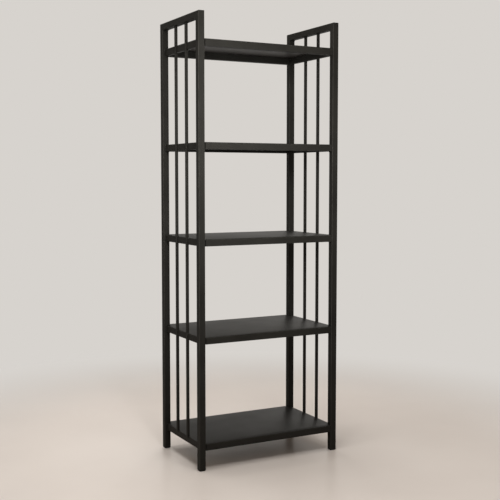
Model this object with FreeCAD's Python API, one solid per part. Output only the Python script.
import FreeCAD, Part
import math
import os

# Industrial shelving unit in black steel: two welded ladder side frames, with five sheet-metal
# shelves hooked between them. Millimetres, +Z up, +X to the right, the front faces -Y.
# The origin is on the floor, in the middle of the footprint.

# Overall frame size and the heights of the five shelf tops, from the top shelf down
WIDTH = 600.0
DEPTH = 360.0
HEIGHT = 1690.0
SHELF_TOPS = [1591.0, 1219.0, 864.0, 501.0, 102.0]

# Square tube of the posts, top rails and crossbars
TUBE = 25.0
WALL = 1.2
TUBE_CORNER = 2.4

# Flat tube of the side frames' rungs, set against the posts' inner faces
RUNG_WIDTH = 15.0
RUNG_CORNER = 1.8

# Square bars let into notches in the rungs' outer faces
SPINDLE = 10.0
SPINDLE_CORNER = 1.0
SPINDLE_SPREAD = 48.0
SPINDLE_LET_IN = 6.0
SPINDLE_LAP = 5.0
RUNG_NOTCH_PLAY = 0.1

# Shelf sheet
SHEET = 1.2
SHEET_SIDE_INSET = 10.5
SHEET_NOTCH_GAP = 1.0
SHEET_CORNER = 3.0

# Hook blade welded in each crossbar end: its hooks drop into slots in the post's inner wall
BLADE = 3.0
BLADE_GRIP = 28.0
STANDOFF = 2.5
HOOK_COUNT = 2
HOOK_LOWEST = -9.5
HOOK_PITCH = 12.0
HOOK_NECK = 4.5
HOOK_DROP = 4.0
HOOK_NOSE = 3.2
HOOK_LEAD = 0.9
HOOK_BEARING = 1.5
SLOT_SIDE_PLAY = 0.2
SLOT_TOP_PLAY = 0.5

# Push-in foot glide
FOOT_HEIGHT = 7.0
FOOT_ROUND = 4.5
FOOT_CORE = 18.0
FOOT_SHANK = 20.0
FIN_THICKNESS = 1.4
FIN_COUNT = 3

# Places worked out from the sizes above
POST_X = (WIDTH - TUBE) / 2
POST_Y = (DEPTH - TUBE) / 2
INNER_X = WIDTH / 2 - TUBE
INNER_Y = DEPTH / 2 - TUBE
RAIL_UNDERSIDE = HEIGHT - TUBE
BORE = TUBE - 2 * WALL
RUNG_X = INNER_X + RUNG_WIDTH / 2
SPINDLE_X = INNER_X + RUNG_WIDTH - SPINDLE_LET_IN + SPINDLE / 2
CROSSBAR_LENGTH = 2 * (INNER_X - STANDOFF)
BAR_TOPS = [top - SHEET for top in SHELF_TOPS]
BAR_AXES = [top - TUBE / 2 for top in BAR_TOPS]
SPINDLE_FOOT = BAR_TOPS[-1] - SPINDLE_LAP
SPINDLE_LENGTH = RAIL_UNDERSIDE - SPINDLE_FOOT
SLOT_HEIGHT = HOOK_NECK + HOOK_DROP + SLOT_TOP_PLAY
HOOK_SEATS = [HOOK_LOWEST + number * HOOK_PITCH for number in range(HOOK_COUNT)]

ORIGIN = FreeCAD.Vector(0, 0, 0)
X_AXIS = FreeCAD.Vector(1, 0, 0)
Y_AXIS = FreeCAD.Vector(0, 1, 0)
Z_AXIS = FreeCAD.Vector(0, 0, 1)


def at(shape, x=0.0, y=0.0, z=0.0):
    moved = shape.copy()
    moved.translate(FreeCAD.Vector(x, y, z))
    return moved


def along_x(shape):
    """Lay a shape that stands along Z down along X, its own X axis becoming the height."""
    laid = shape.copy()
    laid.rotate(ORIGIN, FreeCAD.Vector(1, 0, 1), 180)
    return laid


def along_y(shape):
    """Lay a shape that stands along Z down along Y, its own Y axis becoming the height."""
    laid = shape.copy()
    laid.rotate(ORIGIN, FreeCAD.Vector(0, 1, 1), 180)
    return laid


def mirror_x(shape):
    return shape.mirror(ORIGIN, X_AXIS)


def mirror_y(shape):
    return shape.mirror(ORIGIN, Y_AXIS)


def rounded_rectangle(across_x, across_y, corner):
    """Closed outline in the XY plane, centred on the origin, with quarter-round corners."""
    half_x = across_x / 2 - corner
    half_y = across_y / 2 - corner
    centres = [(half_x, half_y), (-half_x, half_y), (-half_x, -half_y), (half_x, -half_y)]
    arcs = []
    for quarter, (x, y) in enumerate(centres):
        points = []
        for degrees in (0, 45, 90):
            turn = math.radians(90 * quarter + degrees)
            points.append(FreeCAD.Vector(x + corner * math.cos(turn), y + corner * math.sin(turn), 0))
        arcs.append(Part.Arc(*points))
    edges = []
    for arc, following in zip(arcs, arcs[1:] + arcs[:1]):
        edges.append(arc.toShape())
        edges.append(Part.LineSegment(arc.EndPoint, following.StartPoint).toShape())
    return Part.Wire(edges)


def bar(across_x, across_y, corner, length):
    """Solid bar standing on the XY plane."""
    return Part.Face(rounded_rectangle(across_x, across_y, corner)).extrude(Z_AXIS * length)


def block(across_x, across_y, height):
    """Square-cornered block standing on the XY plane, centred on the Z axis."""
    return Part.makeBox(across_x, across_y, height, FreeCAD.Vector(-across_x / 2, -across_y / 2, 0))


def tube(across_x, across_y, corner, length):
    """Tube with rounded outer corners, standing on the XY plane."""
    outside = bar(across_x, across_y, corner, length)
    return outside.cut(block(across_x - 2 * WALL, across_y - 2 * WALL, length))


def mitred_rail_space():
    """Prism that the top rail takes up, its ends sloping at 45 degrees onto the posts."""
    outline = [
        FreeCAD.Vector(0, -DEPTH / 2, HEIGHT),
        FreeCAD.Vector(0, DEPTH / 2, HEIGHT),
        FreeCAD.Vector(0, INNER_Y, RAIL_UNDERSIDE),
        FreeCAD.Vector(0, -INNER_Y, RAIL_UNDERSIDE),
    ]
    face = Part.Face(Part.makePolygon(outline + outline[:1]))
    return at(face.extrude(X_AXIS * WIDTH), x=-WIDTH / 2)


def post_front_right():
    """Post with a pair of hook slots in its inner wall at each shelf."""
    post = at(tube(TUBE, TUBE, TUBE_CORNER, HEIGHT - FOOT_HEIGHT), POST_X, -POST_Y, FOOT_HEIGHT)
    post = post.cut(mitred_rail_space())
    slot = at(block(WALL, BLADE + 2 * SLOT_SIDE_PLAY, SLOT_HEIGHT), INNER_X + WALL / 2, -POST_Y)
    for axis_height in BAR_AXES:
        for seat in HOOK_SEATS:
            post = post.cut(at(slot, z=axis_height + seat))
    return post


def top_rail_right():
    rail = along_y(tube(TUBE, TUBE, TUBE_CORNER, DEPTH))
    rail = at(rail, POST_X, -DEPTH / 2, HEIGHT - TUBE / 2)
    return rail.common(mitred_rail_space())


def cut_at_spindles(shape, play, length, foot):
    """Cut away the space of the four spindles, with some play round each."""
    space = block(SPINDLE + 2 * play, SPINDLE + 2 * play, length)
    for x in (-SPINDLE_X, SPINDLE_X):
        for y in (-SPINDLE_SPREAD, SPINDLE_SPREAD):
            shape = shape.cut(at(space, x, y, foot))
    return shape


def rung_right(axis_height):
    """Flat tube between the posts, notched from outside for the spindles."""
    rung = along_y(tube(RUNG_WIDTH, TUBE, RUNG_CORNER, 2 * INNER_Y))
    rung = at(rung, RUNG_X, -INNER_Y, axis_height)
    return cut_at_spindles(rung, RUNG_NOTCH_PLAY, SPINDLE_LENGTH, SPINDLE_FOOT)


def spindle_front_right():
    """Square bar from the top rail's underside to a short lap in the bottom rung."""
    spindle = bar(SPINDLE, SPINDLE, SPINDLE_CORNER, SPINDLE_LENGTH)
    return at(spindle, SPINDLE_X, -SPINDLE_SPREAD, SPINDLE_FOOT)


def crossbar_front(axis_height):
    crossbar = along_x(tube(TUBE, TUBE, TUBE_CORNER, CROSSBAR_LENGTH))
    return at(crossbar, -CROSSBAR_LENGTH / 2, -POST_Y, axis_height)


def shelf_panel(top):
    """Flat sheet over the crossbars and rungs, with a notch round each post and spindle."""
    wide = WIDTH - 2 * SHEET_SIDE_INSET
    notch_x = INNER_X - SHEET_NOTCH_GAP
    notch_y = INNER_Y - SHEET_NOTCH_GAP
    across = bar(wide, 2 * notch_y, SHEET_CORNER, SHEET)
    along = bar(2 * notch_x, DEPTH, SHEET_CORNER, SHEET)
    sheet = across.fuse(along).removeSplitter()
    return at(cut_at_spindles(sheet, SHEET_NOTCH_GAP, SHEET, 0), z=top - SHEET)


def hook_blade_right():
    """Flat blade on the crossbar's axis: its shoulder meets the post, its hooks hang inside it."""
    grip_end = -STANDOFF - BLADE_GRIP
    outline = [(grip_end, BORE / 2), (grip_end, -BORE / 2), (0, -BORE / 2)]
    for seat in HOOK_SEATS:
        nose = WALL + HOOK_NOSE
        tip = seat - HOOK_DROP
        crown = seat + HOOK_NECK
        outline += [
            (0, seat),
            (WALL, seat),
            (WALL, seat - HOOK_BEARING),
            (WALL + HOOK_LEAD, tip),
            (nose, tip),
            (nose, crown - HOOK_LEAD),
            (nose - HOOK_LEAD, crown),
            (0, crown),
        ]
    outline.append((0, BORE / 2))
    corners = [FreeCAD.Vector(x, -BLADE / 2, z) for x, z in outline]
    blade = Part.Face(Part.makePolygon(corners + corners[:1])).extrude(Y_AXIS * BLADE)
    return at(blade, x=INNER_X)


def foot_glide_front_right():
    """Plastic foot with rounded lower edges, and a finned shank pushed up the post."""
    foot = bar(TUBE, TUBE, TUBE_CORNER, FOOT_HEIGHT)
    round_front = along_x(bar(2 * FOOT_HEIGHT, TUBE, FOOT_ROUND, TUBE))
    round_sides = along_y(bar(TUBE, 2 * FOOT_HEIGHT, FOOT_ROUND, TUBE))
    foot = foot.common(at(round_front, x=-TUBE / 2, z=FOOT_HEIGHT))
    foot = foot.common(at(round_sides, y=-TUBE / 2, z=FOOT_HEIGHT))
    foot = foot.fuse(at(block(FOOT_CORE, FOOT_CORE, FOOT_SHANK), z=FOOT_HEIGHT))
    fin = block(BORE, BORE, FIN_THICKNESS)
    for number in range(1, FIN_COUNT + 1):
        foot = foot.fuse(at(fin, z=FOOT_HEIGHT + number * FOOT_SHANK / (FIN_COUNT + 1)))
    return at(foot, POST_X, -POST_Y)


def at_every_joint(right_end):
    """Copies of a crossbar's right end piece at each of the twenty crossbar ends."""
    copies = []
    for axis_height in BAR_AXES:
        front_right = at(right_end, y=-POST_Y, z=axis_height)
        for front_or_back in (front_right, mirror_y(front_right)):
            copies.append(front_or_back)
            copies.append(mirror_x(front_or_back))
    return Part.makeCompound(copies)


def four_corners(stem, front_right):
    """One piece per corner, mirrored from the front right one."""
    back_right = mirror_y(front_right)
    return {
        stem + "_front_right": front_right,
        stem + "_back_right": back_right,
        stem + "_front_left": mirror_x(front_right),
        stem + "_back_left": mirror_x(back_right),
    }


def all_pieces():
    pieces = {}
    pieces.update(four_corners("post", post_front_right()))
    pieces.update(four_corners("foot_glide", foot_glide_front_right()))
    pieces.update(four_corners("spindle", spindle_front_right()))

    pieces["top_rail_right"] = top_rail_right()
    pieces["top_rail_left"] = mirror_x(top_rail_right())

    for number, (top, axis_height) in enumerate(zip(SHELF_TOPS, BAR_AXES), start=1):
        rung = rung_right(axis_height)
        crossbar = crossbar_front(axis_height)
        pieces["rung_right_%d" % number] = rung
        pieces["rung_left_%d" % number] = mirror_x(rung)
        pieces["crossbar_front_%d" % number] = crossbar
        pieces["crossbar_back_%d" % number] = mirror_y(crossbar)
        pieces["shelf_panel_%d" % number] = shelf_panel(top)

    pieces["crossbar_hooks"] = at_every_joint(hook_blade_right())
    return pieces


os.makedirs("parts", exist_ok=True)
for name, shape in all_pieces().items():
    shape.exportStep("parts/%s.step" % name)
    print("%-24s solids %2d  volume %9.0f mm3" % (name, len(shape.Solids), shape.Volume))
